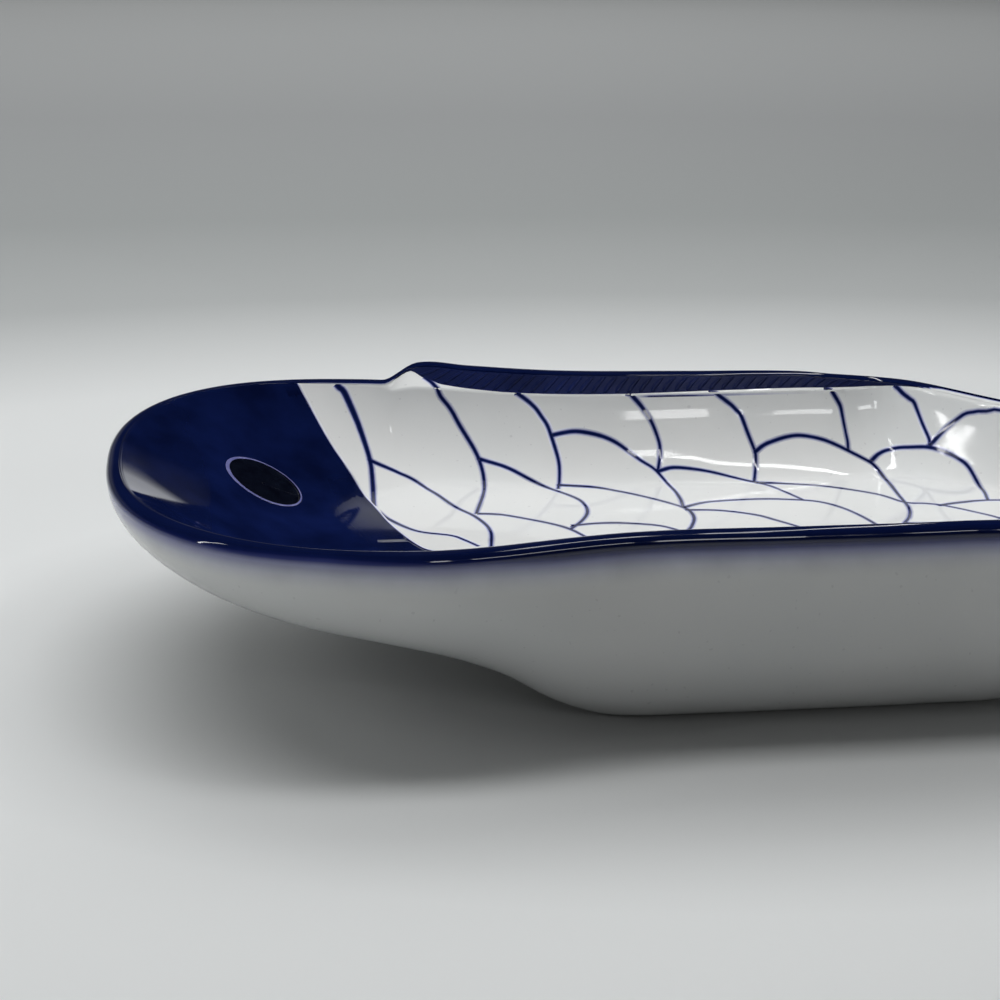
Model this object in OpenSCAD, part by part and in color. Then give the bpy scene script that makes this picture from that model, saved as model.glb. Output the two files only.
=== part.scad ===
// Fish shaped serving platter: one moulded ceramic body with coloured glaze coats lying on it.
// Millimetres, +Z up, head at -X, tail at +X, back (dorsal fin) at +Y, belly at -Y, foot on z = 0.
// Stations are measured along the fish from the outer edge of the nose; the crest is the top line of the rim.

/* [Overall] */
// Overall length, from the nose to the tail tips
fish_l = 322; // [306:1:340]
// Height of the rim crest above the table
rim_h = 50; // [46:0.5:56]
// Radius of the rounded rim
lip_r = 2.4; // [1.8:0.1:3]

/* [Head] */
// Station of the widest place of the head
head_l = 62.5; // [56:0.5:70]
// Width of the head between rim crests
head_w = 127.5; // [118:0.5:138]
// Squareness of the nose in plan, 2 is an ellipse
nose_power = 2.4; // [2:0.05:3]
// Rise of the rim at the nose tip
nose_lift = 2.2; // [0:0.1:4]

/* [Body outline] */
// Place of the neck between the head and the wrist of the tail, as a share
neck_at = 0.25; // [0.2:0.01:0.3]
// Half breadth of the neck on the back side
neck_back = 53.5; // [48:0.5:58]
// Half breadth of the neck on the belly side
neck_belly = 55.5; // [50:0.5:60]
// Place of the middle of the body, as a share
mid_at = 0.44; // [0.38:0.01:0.5]
// Half breadth of the middle on the back side
mid_back = 53; // [48:0.5:58]
// Half breadth of the middle on the belly side
mid_belly = 55; // [50:0.5:60]
// Place of the hind body, as a share
hind_at = 0.615; // [0.56:0.005:0.66]
// Half breadth of the hind body on the back side
hind_back = 54.5; // [50:0.5:60]
// Half breadth of the hind body on the belly side
hind_belly = 54.5; // [48:0.5:58]
// Place of the rump, where the body starts to draw in, as a share
rump_at = 0.73; // [0.7:0.005:0.78]
// Half breadth at the rump on the back side
rump_back = 56; // [50:0.5:58]
// Half breadth at the rump on the belly side
rump_belly = 52; // [46:0.5:56]
// Place half way down the draw-in, as a share
draw_at = 0.865; // [0.84:0.005:0.9]
// Half breadth half way down the draw-in
draw_half = 30; // [27:0.5:36]

/* [Tail] */
// Length of the tail, from its narrow wrist to its tips
tail_l = 60; // [52:1:68]
// Half breadth of the wrist
wrist_half = 21; // [17:0.5:25]
// Half breadth of the spread tail
tail_half = 46; // [38:0.5:52]
// Depth of the fork between the tail tips
fork_depth = 11; // [6:0.5:18]

/* [Well] */
// Depth of the well below the rim crest
well_depth = 21; // [16:0.5:26]
// Depth of the well in the tail
tail_depth = 14; // [10:0.5:20]
// Share of the half breadth that is flat floor in the body
body_floor = 0.62; // [0.5:0.01:0.72]
// Share of the half breadth that is flat floor in the head
head_floor = 0.25; // [0.2:0.01:0.5]
// Rise of the floor from the head to the nose
nose_rise = 12; // [4:0.5:14]
// Angle of the arc at the top of the well wall in the head, a gentler slope than in the body
head_wall = 45; // [40:1:80]
// Roundness of the well wall, 2 is an elliptical arc
wall_power = 1.9; // [1.6:0.05:2.6]

/* [Underside] */
// Height of the underside below the nose
nose_under = 26.5; // [22:0.5:29]
// Height of the underside below the chin
chin_under = 22.5; // [18:0.5:24]
// How far the chin lies in front of the widest place of the head
chin_gap = 37.5; // [32:0.5:42]
// Height of the underside below the throat
throat_under = 14.5; // [11:0.5:18]
// How far the throat lies behind the widest place of the head
throat_gap = 7.5; // [2:0.5:12]
// Height of the top of the step that leads down to the foot
step_under = 9.7; // [6:0.1:11]
// Length of that step
step_l = 28; // [24:1:32]
// Place where the foot starts between the head and the wrist of the tail, as a share
foot_from = 0.26; // [0.24:0.005:0.3]
// Place where the foot ends, as a share
foot_to = 0.82; // [0.78:0.005:0.85]
// Length of the eased rise from the foot to the tail
rise_l = 46; // [36:1:56]
// Height of the underside below the tail tips
tail_under = 26; // [18:0.5:30]
// Share of the half breadth that is foot
foot_share = 0.69; // [0.6:0.01:0.78]
// Share of the half breadth that is flat under the head and tail
keel_share = 0.22; // [0.14:0.01:0.3]
// How far the foot bows out at its two ends
foot_bow = 8; // [0:1:14]
// Roundness of the outer wall of the body, 2 is an elliptical arc
hull_power = 2.15; // [1.8:0.05:2.6]
// Roundness of the outer wall of the head
head_power = 1.95; // [1.7:0.05:2.4]
// Width of the foot ring
foot_w = 7; // [5:0.5:10]
// Height of the hollow inside the foot ring
hollow_h = 20; // [4:0.5:22]
// Run of the sloping side of that hollow
hollow_slope = 3; // [2:0.5:5]

/* [Dorsal fin] */
// How far behind the widest place of the head the fin starts
fin_gap = 6.5; // [4:0.5:12]
// Length of the fin along the rim
fin_l = 139; // [128:1:146]
// Width of the fin beyond the rim line, behind its front tip
fin_w = 7.1; // [4:0.1:9]
// Rise of the fin per millimetre of its width
fin_rise = 0.45; // [0.2:0.05:0.7]
// Spacing of the strokes on the fin
stroke_pitch = 3.2; // [2.8:0.1:5]
// Width of one stroke
stroke_w = 1.1; // [0.8:0.1:1.6]
// How far a stroke leans towards the tail
stroke_lean = 4; // [0:0.5:8]

/* [Decoration] */
// Thickness of one coat of coloured glaze
glaze_t = 0.3; // [0.2:0.05:0.5]
// Width of a scale line
line_w = 1.2; // [0.8:0.1:1.8]
// Width of the gill line
gill_w = 2; // [1.4:0.1:2.6]
// Station of the eye
eye_s = 36.5; // [34:0.5:40]
// Distance of the eye from the rim crest at the back
eye_gap = 39.2; // [34:0.1:44]
// Outer radius of the eye ring
eye_r = 9.3; // [7:0.1:11]
// Width of the eye ring
eye_ring_w = 1; // [0.6:0.1:1.6]
// How far in front of the widest place of the head its colour ends at the back rim
colour_back = 16; // [13:0.5:20]
// How far behind the widest place of the head its colour ends at the belly rim
colour_belly = 33.5; // [29:0.5:38]
// How far in front of the wrist the tail colour starts on the long axis
tail_colour = 12; // [4:0.5:16]

/* [Hidden] */

// Counts of ribs along one side and of rings over the section
nose_ribs = 12;
body_ribs = 32;
tail_steps = 3;
wall_rings = 7;
wall_top_angle = 80;
lip_angles = [140, 100, 60, 20, -20];
hull_angles = [87.5, 74, 60, 45, 30, 15, 0];
decor_h = rim_h + 30;

// Smooth step from 0 at a to 1 at b
function ease(x, a, b) = let (t = min(1, max(0, (x - a) / (b - a)))) t * t * (3 - 2 * t);

// Index of the span of a knot list that holds x
function span(k, x, i = 0) = (i >= len(k) - 2 || x < k[i + 1][0]) ? i : span(k, x, i + 1);

// Slope at a knot, from its two neighbours, level at both ends
function knot_slope(k, i) = (i == 0 || i == len(k) - 1) ? 0
    : (k[i + 1][1] - k[i - 1][1]) / (k[i + 1][0] - k[i - 1][0]);

// Smooth curve through knots [x, y]
function curve(k, x) =
    let (i = span(k, x), h = k[i + 1][0] - k[i][0], t = min(1, max(0, (x - k[i][0]) / h)))
    (2 * t ^ 3 - 3 * t ^ 2 + 1) * k[i][1] + (t ^ 3 - 2 * t ^ 2 + t) * h * knot_slope(k, i)
    + (-2 * t ^ 3 + 3 * t ^ 2) * k[i + 1][1] + (t ^ 3 - t ^ 2) * h * knot_slope(k, i + 1);

// Point at t between b and c of a spline through plane points a, b, c, d
function spline(a, b, c, d, t) =
    0.5 * (2 * b + (c - a) * t + (2 * a - 5 * b + 4 * c - d) * t ^ 2 + (3 * b - a - 3 * c + d) * t ^ 3);

// Spline through a whole list of points, n steps a span
function smooth(p, n) = [
    for (k = [0 : len(p) - 2])
        for (t = [0 : n - 1])
            spline(p[max(0, k - 1)], p[k], p[k + 1], p[min(len(p) - 1, k + 2)], t / n),
    p[len(p) - 1]];

// Stations that follow from the lengths of the head, the tail and the whole fish
wrist_s = fish_l - tail_l;
body_l = wrist_s - head_l;
function along(share) = head_l + share * body_l;
neck_s = along(neck_at);
mid_s = along(mid_at);
hind_s = along(hind_at);
rump_s = along(rump_at);
draw_s = along(draw_at);
foot_front = along(foot_from);
foot_rear = along(foot_to);
chin_s = head_l - chin_gap;
throat_s = head_l + throat_gap;
fin_s = head_l + fin_gap;
eye_y = head_w / 2 - eye_gap;
tail_edge = wrist_s - tail_colour;
head_edge_back = head_l - colour_back;
head_edge_belly = head_l + colour_belly;

// Half breadth knots of the two sides, from the widest place of the head to the wrist
back_knots = [[head_l, head_w / 2], [neck_s, neck_back], [mid_s, mid_back], [hind_s, hind_back],
              [rump_s, rump_back], [draw_s, draw_half], [wrist_s, wrist_half]];
belly_knots = [[head_l, head_w / 2], [neck_s, neck_belly], [mid_s, mid_belly], [hind_s, hind_belly],
               [rump_s, rump_belly], [draw_s, draw_half], [wrist_s, wrist_half]];

// Tail lobe from the wrist round its tip to the fork
tip_s = fish_l - lip_r;
fork_s = tip_s - fork_depth;
tail_s = fork_s - 20;
lobe = [[draw_s, draw_half], [wrist_s, wrist_half], [wrist_s + 23, 0.66 * tail_half],
        [tip_s - 15, 0.95 * tail_half], [tip_s - 4, tail_half], [tip_s - 0.5, 0.88 * tail_half],
        [fork_s + 4, 0.42 * tail_half], [fork_s, 0], [fork_s + 4, -0.42 * tail_half]];

// Crest of one side from the first rib past the nose tip to the last before the fork, as [station, half breadth]
function side_crest(knots) = concat(
    [for (i = [1 : nose_ribs])
        let (a = 90 * i / nose_ribs)
        [head_l - (head_l - lip_r) * cos(a) ^ (2 / nose_power), head_w / 2 * sin(a) ^ (2 / nose_power)]],
    [for (i = [1 : body_ribs])
        let (s = head_l + (wrist_s - head_l) * i / body_ribs)
        [s, curve(knots, s)]],
    [for (k = [1 : len(lobe) - 3])
        for (t = [1 : tail_steps])
            if (k < len(lobe) - 3 || t < tail_steps)
                spline(lobe[k - 1], lobe[k], lobe[k + 1], lobe[k + 2], t / tail_steps)]);

belly_side = side_crest(belly_knots);
back_side = side_crest(back_knots);
ribs = len(belly_side);
around = 2 * ribs + 2;

// Crest all round, counterclockwise from the nose along the belly to the fork and back
crest = concat([[lip_r, 0]], [for (p = belly_side) [p[0], -p[1]]], [[fork_s, 0]],
               [for (i = [ribs - 1 : -1 : 0]) back_side[i]]);

// Last rib that runs straight across, before those that spread out from the spine's end
across = max([for (i = [1 : ribs]) if (crest[i][0] < tail_s - lip_r) i]);

// Place on the spine that each rib starts from
spine = [for (p = crest) [min(tail_s, max(head_l, p[0])), 0]];

// Outward direction of the crest in plan
crest_out = [for (i = [0 : around - 1])
    let (d = crest[(i + 1) % around] - crest[(i + around - 1) % around])
    [d[1], -d[0]] / norm(d)];

// Width of the dorsal fin beyond the rim line at a station
fin_knots = [[0, 0], [0.06, 1], [0.15, 1], [0.35, 0.92], [0.58, 0.79], [0.81, 0.6], [1, 0]];
function fin_at(s) = fin_w * curve(fin_knots, min(1, max(0, (s - fin_s) / fin_l)));
fin_width = [for (i = [0 : around - 1]) i > ribs + 1 ? fin_at(crest[i][0]) : 0];

// Heights along the fish
function crest_z(s) = rim_h + nose_lift * (1 - ease(s, 0, neck_s - 27));
function floor_z(s) = rim_h - well_depth + nose_rise * (1 - ease(s, 0, head_l - 6.5))
    + (well_depth - tail_depth) * ease(s, draw_s, tail_s + 6);

// Underside: raised below the head and tail, with an eased step down to the foot
under_knots = [[0, nose_under], [chin_s, chin_under], [throat_s, throat_under],
               [foot_front - step_l, step_under], [foot_front - step_l / 2, 0.29 * step_under], [foot_front, 0]];
function keel_z(s, y) =
    let (bow = foot_bow * (1 - min(1, abs(y) / (foot_share * mid_back)) ^ 2))
    curve(under_knots, min(foot_front, s + bow * ease(s, throat_s, foot_front)))
    + tail_under * ease(s - bow, foot_rear, foot_rear + rise_l);

// Share of each rib that is flat floor above, or foot below
function floor_share(s) = head_floor + (body_floor - head_floor) * ease(s, head_l - 34.5, neck_s - 20);
function under_share(s) = keel_share + (foot_share - keel_share)
    * ease(s, foot_front - 64, foot_front + 11) * (1 - ease(s, foot_rear - 11, foot_rear + 64));

// Angle of the wall's arc at its top, smaller in the head
function wall_top(s) = head_wall + (wall_top_angle - head_wall) * ease(s, head_l - 27.5, neck_s - 27);

// Angle round the rim at which the wall meets it with the same slope, except under the fin, which overhangs the wall
function wall_slope(i) =
    let (s = crest[i][0], a = wall_top(s), run = (1 - floor_share(s)) * norm(crest[i] - spine[i]))
    (crest_z(s) - floor_z(s)) * sin(a) ^ 2 / (run * cos(a) * (1 - cos(a)));
edge_turn = [for (i = [0 : around - 1])
    let (a = 90 + atan(wall_slope(i)))
    a + (180 - a) * min(1, fin_width[i] / 1.5)];
function lip_angle(i, j) = j == 0 ? min(lip_angles[0], edge_turn[i] - 12) : lip_angles[j];

// Rim centre line, the top inner edge of the well wall, and a point round the rim
function lip_centre(i) = [each crest[i] + fin_width[i] * crest_out[i],
                          crest_z(crest[i][0]) - lip_r + fin_rise * fin_width[i]];
function well_edge(i) =
    let (r = lip_r * (1 - 0.5 * fin_width[i] / fin_w), a = edge_turn[i])
    [each crest[i] + r * cos(a) * crest_out[i], crest_z(crest[i][0]) + r * (sin(a) - 1)];
function lip_point(i, a) = lip_centre(i) + lip_r * [each cos(a) * crest_out[i], sin(a)];

// Well wall at rib i, at share r of its run and share h of its height
function well_point(i, r, h) =
    let (f = floor_share(crest[i][0]), e = well_edge(i), d = [e[0], e[1]] - spine[i],
         p = spine[i] + (f + (1 - f) * r) * d, z = floor_z(p[0]))
    [p[0], p[1], z + (e[2] - z) * h];
function well_step(i, j) =
    let (top = wall_top(crest[i][0]), a = top * j / wall_rings, q = 2 / wall_power)
    [(sin(a) / sin(top)) ^ q, (1 - cos(a) ^ q) / (1 - cos(top) ^ q)];
well_rings = [for (j = [0 : wall_rings])
    [for (i = [0 : around - 1])
        let (step = well_step(i, j))
        well_point(i, step[0], step[1])]];

// Directions square to the well wall, for laying a coat on it
function well_normal(i, j) =
    let (a = well_rings[max(0, j - 1)][i], b = well_rings[min(wall_rings, j + 1)][i],
         along = well_rings[j][(i + 1) % around] - well_rings[j][(i + around - 1) % around],
         n = cross(along, j == 0 ? [a[0], a[1], 0] - [spine[i][0], spine[i][1], 0] : b - a))
    -n / norm(n);
well_normals = [for (j = [0 : wall_rings]) [for (i = [0 : around - 1]) j == 0 ? [0, 0, 1] : well_normal(i, j)]];

// Rim, outer wall and foot
lip_rings = [for (j = [0 : len(lip_angles) - 1]) [for (i = [0 : around - 1]) lip_point(i, lip_angle(i, j))]];
function wall_roundness(s) = head_power + (hull_power - head_power) * ease(s, 10, neck_s - 22);
function hull_point(i, a) =
    let (q = 2 / wall_roundness(crest[i][0]), f = under_share(crest[i][0]), e = lip_point(i, lip_angles[4]),
         p = spine[i] + (f + (1 - f) * sin(a) ^ q) * ([e[0], e[1]] - spine[i]), z = keel_z(p[0], p[1]))
    [p[0], p[1], z + (e[2] - z) * (1 - cos(a) ^ q)];
hull_rings = [for (a = hull_angles) [for (i = [0 : around - 1]) hull_point(i, a)]];
function foot_point(i, inset, most, up) =
    let (p = hull_point(i, 0), d = [p[0], p[1]] - spine[i],
         q = spine[i] + d * (1 - min(most, inset / norm(d))),
         room = ease(q[0], foot_front, foot_front + 16) * (1 - ease(q[0], foot_rear - 16, foot_rear)))
    [q[0], q[1], keel_z(q[0], q[1]) + up * room];
foot_rings = [[for (i = [0 : around - 1]) foot_point(i, foot_w, 0.4, 0)],
              [for (i = [0 : around - 1]) foot_point(i, foot_w + hollow_slope, 0.6, hollow_h)]];

// Outermost line of the rim with its coat, and the middle of the box round it
rim_edge = [for (i = [0 : around - 1])
    crest[i] + (fin_width[i] + (lip_r + glaze_t) * cos(lip_angles[4])) * crest_out[i]];
mid_s_y = [for (k = [0, 1])
    let (v = [for (e = rim_edge) e[k]])
    (min(v) + max(v)) / 2];

// Moves a shape from stations to the part's frame, origin below the middle of the rim's box
module placed() {
    translate([-mid_s_y[0], -mid_s_y[1], 0]) children();
}

// Triangles of the band between ring a and ring b, clockwise seen from outside
function band(a, b) = [for (i = [0 : around - 1])
    let (k = (i + 1) % around)
    each [[a * around + i, a * around + k, b * around + k], [a * around + i, b * around + k, b * around + i]]];

// Triangles that close ring a: across the fish as far as the tail, then a fan round the spine's last point
function cap(a, last) = let (o = a * around) concat(
    [[o + around - 1, o + 1, o], [o + around - across, last, o + across]],
    [for (i = [1 : across - 1])
        each [[o + around - i, o + around - i - 1, o + i + 1], [o + around - i, o + i + 1, o + i]]],
    [for (i = [across : around - across - 1]) [last, o + i + 1, o + i]]);
function flip(faces) = [for (f = faces) [f[2], f[1], f[0]]];

// A coat over the whole inside of the well, from height a to height b above the clay
function lifted(d) = [for (j = [0 : wall_rings]) [for (i = [0 : around - 1])
    well_rings[j][i] + d * well_normals[j][i]]];
function floor_end(d) = [tail_s, 0, floor_z(tail_s) + d];
module coat(a, b) {
    n = wall_rings + 1;
    ends = 2 * n * around;
    placed()
        polyhedron(points = concat([each each lifted(b)], [each each lifted(a)], [floor_end(b), floor_end(a)]),
                   faces = concat(cap(0, ends), [for (j = [0 : n - 2]) each band(j, j + 1)],
                                  flip(cap(n, ends + 1)), [for (j = [0 : n - 2]) each flip(band(n + j, n + j + 1))],
                                  band(n - 1, 2 * n - 1)));
}

// A brush line of width w through plane points, as short straight strokes
module brush(points, w) {
    for (k = [0 : len(points) - 2])
        hull() {
            translate(points[k]) circle(d = w, $fn = 8);
            translate(points[k + 1]) circle(d = w, $fn = 8);
        }
}

// What a plane shape covers on a coat
module painted(a, b) {
    intersection() {
        coat(a, b);
        placed() linear_extrude(decor_h) children();
    }
}

// The clay body: well, rim with the dorsal fin, outer wall, foot ring and the hollow inside it
module body() {
    rings = concat(well_rings, lip_rings, hull_rings, foot_rings);
    n = len(rings);
    color("white")
        placed()
            polyhedron(points = concat([each each rings], [floor_end(0), [tail_s, 0, keel_z(tail_s, 0)]]),
                       faces = concat(cap(0, n * around), [for (j = [0 : n - 2]) each band(j, j + 1)],
                                      flip(cap(n - 1, n * around + 1))));
}

// Edge of the head colour, slanting back from the back rim to the belly rim
head_edge = smooth([[head_edge_back - 4.5, head_w / 2 + 5], [head_edge_back, 61], [head_edge_back + 3.1, 56.5],
                    [head_edge_back + 7.8, 48.7], [head_edge_back + 12.4, 40.3], [head_edge_back + 16.4, 26.5],
                    [head_edge_back + 20, 10.2], [head_edge_back + 25.7, -5.3], [head_edge_back + 34, -17],
                    [head_edge_belly, -head_w / 2 - 5]], 2);
module head_region() {
    polygon(concat([[-20, head_w / 2 + 5]], head_edge, [[-20, -head_w / 2 - 5]]));
}
module head_glaze() {
    color("midnightblue") painted(0, glaze_t) head_region();
}

// Tail colour, with an edge that bows towards the head
module tail_region() {
    polygon(concat([for (y = [-60 : 10 : 60]) [tail_edge + tail_colour * (1 - cos(1.5 * y)), y]],
                   [[fish_l + 20, 60], [fish_l + 20, -60]]));
}
module tail_glaze() {
    color("midnightblue") painted(0, glaze_t) tail_region();
}

// Rim band: over the crest and a little way down the outside, all round
rim_rings = concat(lip_rings, [hull_rings[0]]);
function rim_normal(i, j) = j < len(lip_angles)
    ? [each cos(lip_angle(i, j)) * crest_out[i], sin(lip_angle(i, j))]
    : [each crest_out[i], 0];
module rim_glaze() {
    n = len(rim_rings);
    upper = [for (j = [0 : n - 1]) [for (i = [0 : around - 1]) rim_rings[j][i] + glaze_t * rim_normal(i, j)]];
    color("darkblue")
        placed()
            polyhedron(points = [each each upper, each each rim_rings],
                       faces = concat([for (j = [0 : n - 2]) each band(j, j + 1)],
                                      [for (j = [0 : n - 2]) each flip(band(n + j, n + j + 1))],
                                      band(n - 1, 2 * n - 1), band(n, 0)));
}

// Face of the dorsal fin, from the well's edge up to the rim band, from height a to height b above the clay
fin_ids = [for (i = [ribs + 2 : around - 1])
    if (crest[i][0] > fin_s + 5 && crest[i][0] < fin_s + fin_l - 4) i];
function fin_foot(i, d) = well_rings[wall_rings][i] + d * well_normals[wall_rings][i];
function fin_top(i, d) = lip_rings[0][i] + d * rim_normal(i, 0);
module fin_coat(a, b) {
    n = len(fin_ids);
    points = concat([for (i = fin_ids) fin_foot(i, b)], [for (i = fin_ids) fin_top(i, b)],
                    [for (i = fin_ids) fin_foot(i, a)], [for (i = fin_ids) fin_top(i, a)]);
    function strip(p, q) = [for (i = [0 : n - 2])
        each [[p + i, p + i + 1, q + i + 1], [p + i, q + i + 1, q + i]]];
    ends = [[0, n, 2 * n], [n, 3 * n, 2 * n],
            [n - 1, 3 * n - 1, 2 * n - 1], [3 * n - 1, 4 * n - 1, 2 * n - 1]];
    placed()
        polyhedron(points = points,
                   faces = concat(strip(0, n), flip(strip(2 * n, 3 * n)), strip(n, 3 * n), strip(2 * n, 0), ends));
}
module fin_glaze() {
    color("navy") fin_coat(0, glaze_t);
}

// Slanting brush strokes on top of the fin's colour
module fin_strokes() {
    color("black")
        intersection() {
            fin_coat(glaze_t, 2 * glaze_t);
            placed()
                linear_extrude(decor_h)
                    for (s = [fin_s + 14 : stroke_pitch : fin_s + fin_l - 16])
                        let (y = curve(back_knots, s))
                            brush([[s, y - lip_r - 2], [s + stroke_lean, y + fin_w + 2]], stroke_w);
        }
}

// Gill line, from the back rim down to the edge of the head colour
gill = smooth([[head_edge_back + 8.6, 64.5], [head_edge_back + 10.6, 61.7], [head_edge_back + 12.6, 60.4],
               [head_edge_back + 15.8, 54.8], [head_edge_back + 17.9, 46.9], [head_edge_back + 18, 38],
               [head_edge_back + 17, 21.8]], 3);
module gill_stroke() {
    difference() {
        brush(gill, gill_w);
        head_region();
    }
}
module gill_line() {
    color("navy") painted(0, glaze_t) gill_stroke();
}

// Scale lines: rows of overlapping arcs, each from the row before it round towards the belly.
// They are drawn for a body of this length behind the head and stretch with it.
drawn_head_l = 62.5;
drawn_body_l = 199.5;
function stretched(p) = [along((p[0] - drawn_head_l) / drawn_body_l), p[1]];
scale_arcs = [
    [[79.5, 63.8], [81.7, 61.5], [83.6, 59.1], [87.8, 55.6], [93, 46.9], [93, 35.1], [88.5, 16.4]],
    [[103.2, 54], [107.5, 52.4], [109.8, 51.1], [112, 48.9], [113.6, 43.5], [113, 37.8], [111.9, 33.2]],
    [[132.5, 51.6], [136.9, 50.5], [139.5, 48.9], [140.9, 46.3], [140.8, 43.8], [139.4, 39.5]],
    [[155, 51.9], [159.6, 51.3], [162.3, 50.7], [164.3, 49.6], [166.4, 45.4], [166.5, 42.4], [164.1, 34.2]],
    [[187.2, 53.4], [191.1, 52.8], [192.3, 51.7], [193, 47.8], [192.7, 45.5]],
    [[207, 54.3], [210.5, 51.2], [212.1, 49.2], [214.2, 44.1], [214.3, 42.5]],
    [[214.3, 42.5], [216.6, 42.3], [218.8, 41.4], [221.4, 39.5], [223.8, 37.1], [226.2, 34.6], [229, 31.9]],
    [[64.4, 46.5], [71.5, 43.3], [76, 39.9], [79.9, 32.6], [83.9, 21.8], [88.1, 13.9], [90.3, 4.5],
     [89, -7]],
    [[93, 46.9], [101.4, 42.2], [109.8, 33.6], [115.1, 26.2], [116.6, 20.9], [116.2, 15], [113.8, 9.3],
     [109.9, 3.5]],
    [[112.5, 48.3], [119.9, 48.2], [128.8, 46.4], [135.6, 42.3], [139.3, 39], [141.5, 32], [141.8, 23.1],
     [141.1, 16.8]],
    [[139.5, 39.4], [144.6, 40.4], [153.9, 38.7], [163.8, 34.3], [167.3, 31.6], [170, 26.8], [173.1, 20]],
    [[166.7, 44.3], [170.8, 46.2], [179.5, 47.7], [189.2, 46.3], [196.9, 43.1], [199.4, 39.4],
     [199.7, 31.5], [199.1, 21.5], [198.5, 12], [196.4, 5.3], [193.3, 0.6]],
    [[198.2, 42.5], [201, 44.8], [204.1, 45.8], [208.2, 45.4], [214.1, 42.2], [219.7, 36], [222.2, 31],
     [222.6, 23.6], [221.1, 16.1]],
    [[64, 20.9], [66.6, 14.1], [72.5, 5.5], [80.4, 1.7], [83.3, -1.7], [86.1, -6.1]],
    [[88.7, 16.4], [93, 15.7], [96.7, 14.1], [105.5, 8.1], [109.9, 3.5], [112.8, -2.2]],
    [[112.5, 35.3], [121.8, 33.4], [127.3, 30.2], [132.3, 26.2], [137, 21.7], [141.1, 16.8], [142.2, 13.5],
     [142, 8.8], [140.2, 3.5], [138, -0.5]],
    [[110.6, 6], [116.8, 7.1], [122.5, 7], [128, 5.8], [132.9, 3.8], [137.3, -0.6]],
    [[141.2, 16.8], [146.7, 19.8], [152.3, 20.9], [163.1, 21.4], [173.4, 19.6], [178, 17.3], [181.5, 13.1],
     [184.3, 7.2], [186.6, -0.5]],
    [[164.5, 33.9], [171.7, 32.7], [181.8, 29.9], [193.4, 22.9], [198.8, 16], [204.2, 14.6], [208.8, 12.3],
     [216.4, 5.5], [219.2, 2.3]],
    [[141.6, 14.9], [149.9, 13.8], [158, 9.9], [162.1, 5.7], [167.5, -0.5]],
    [[207, 13], [212.3, 14.5], [221.1, 15.8], [230, 14], [237, 8], [241, 0]],
    [[230, 30.5], [237, 26], [242, 16], [243, 6]],
    [[89, -7], [99, -10], [109, -20], [112, -30], [106, -41]],
    [[114, -3], [125, -6], [135, -16], [138, -26], [132, -38]],
    [[138, 0], [150, -3], [161, -12], [164, -23], [158, -35]],
    [[168, -1], [178, -4], [188, -14], [191, -24], [185, -36]],
    [[194, 1], [205, -1], [214, -10], [216, -20], [210, -31]],
    [[219, 2.5], [230, -1], [238, -9], [236, -18]],
    [[82, -20], [92, -28], [96, -38], [93, -48]],
    [[106, -41], [116, -44], [124, -51], [127, -62]],
    [[132, -38], [143, -41], [151, -49], [154, -62]],
    [[158, -35], [169, -39], [177, -47], [180, -62]],
    [[185, -36], [196, -39], [204, -46], [208, -58]],
    [[210, -31], [220, -31], [229, -33], [236, -35]],
    [[93, -48], [100, -54], [104, -64]]];
module scale_lines() {
    color("mediumblue") painted(0, glaze_t)
        difference() {
            for (a = scale_arcs)
                brush(smooth([for (p = a) stretched(p)], 2), line_w);
            head_region();
            tail_region();
            brush(gill, gill_w);
        }
}

// Eye on top of the head colour: a pale ring round a dark pupil
eye_turns = 32;
function eye_circle(r) = [for (k = [0 : eye_turns - 1])
    [eye_s, eye_y] + r * [cos(360 * k / eye_turns), sin(360 * k / eye_turns)]];
module eye_ring() {
    color("lavender") painted(glaze_t, 2 * glaze_t)
        difference() {
            polygon(eye_circle(eye_r));
            polygon(eye_circle(eye_r - eye_ring_w));
        }
}
module eye_pupil() {
    color("black") painted(glaze_t, 2 * glaze_t) polygon(eye_circle(eye_r - eye_ring_w));
}

body();
head_glaze();
rim_glaze();
fin_glaze();
fin_strokes();
tail_glaze();
gill_line();
scale_lines();
eye_ring();
eye_pupil();
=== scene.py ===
import bmesh
import bpy
import numpy as np
from mathutils import Matrix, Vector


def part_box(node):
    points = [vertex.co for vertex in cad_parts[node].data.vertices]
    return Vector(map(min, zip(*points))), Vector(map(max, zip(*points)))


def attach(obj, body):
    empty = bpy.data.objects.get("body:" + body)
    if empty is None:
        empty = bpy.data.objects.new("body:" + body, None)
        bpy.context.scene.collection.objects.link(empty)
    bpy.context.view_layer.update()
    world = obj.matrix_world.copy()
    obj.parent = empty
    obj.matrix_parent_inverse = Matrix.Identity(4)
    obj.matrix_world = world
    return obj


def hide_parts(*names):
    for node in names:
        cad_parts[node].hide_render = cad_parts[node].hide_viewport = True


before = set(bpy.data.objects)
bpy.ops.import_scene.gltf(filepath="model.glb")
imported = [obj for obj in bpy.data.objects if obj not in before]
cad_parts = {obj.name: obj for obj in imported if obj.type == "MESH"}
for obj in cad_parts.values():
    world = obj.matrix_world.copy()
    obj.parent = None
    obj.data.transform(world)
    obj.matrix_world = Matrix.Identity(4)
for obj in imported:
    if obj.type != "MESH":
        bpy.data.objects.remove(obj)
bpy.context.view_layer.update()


# Clay body
# The dish itself: one moulded piece of white clay with the well, a rolled rim that spreads into a fin at the
# back, the outer wall and a hollow foot. It is dipped in white glaze and fired on its bare foot ring.
# Lengths are in millimetres; stations run from the nose to the tail and y runs from the belly to the back.
mm = 0.001
fish_l = 322.0
tail_l = 60.0
rim_h = 50.0
lip_r = 2.4
lip_start = 140.0
lip_lead = 12.0
lip_end = 20.0
coat_t = 0.3
head_l = 62.5
head_w = 127.5
nose_power = 2.4
nose_lift = 2.2
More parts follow.
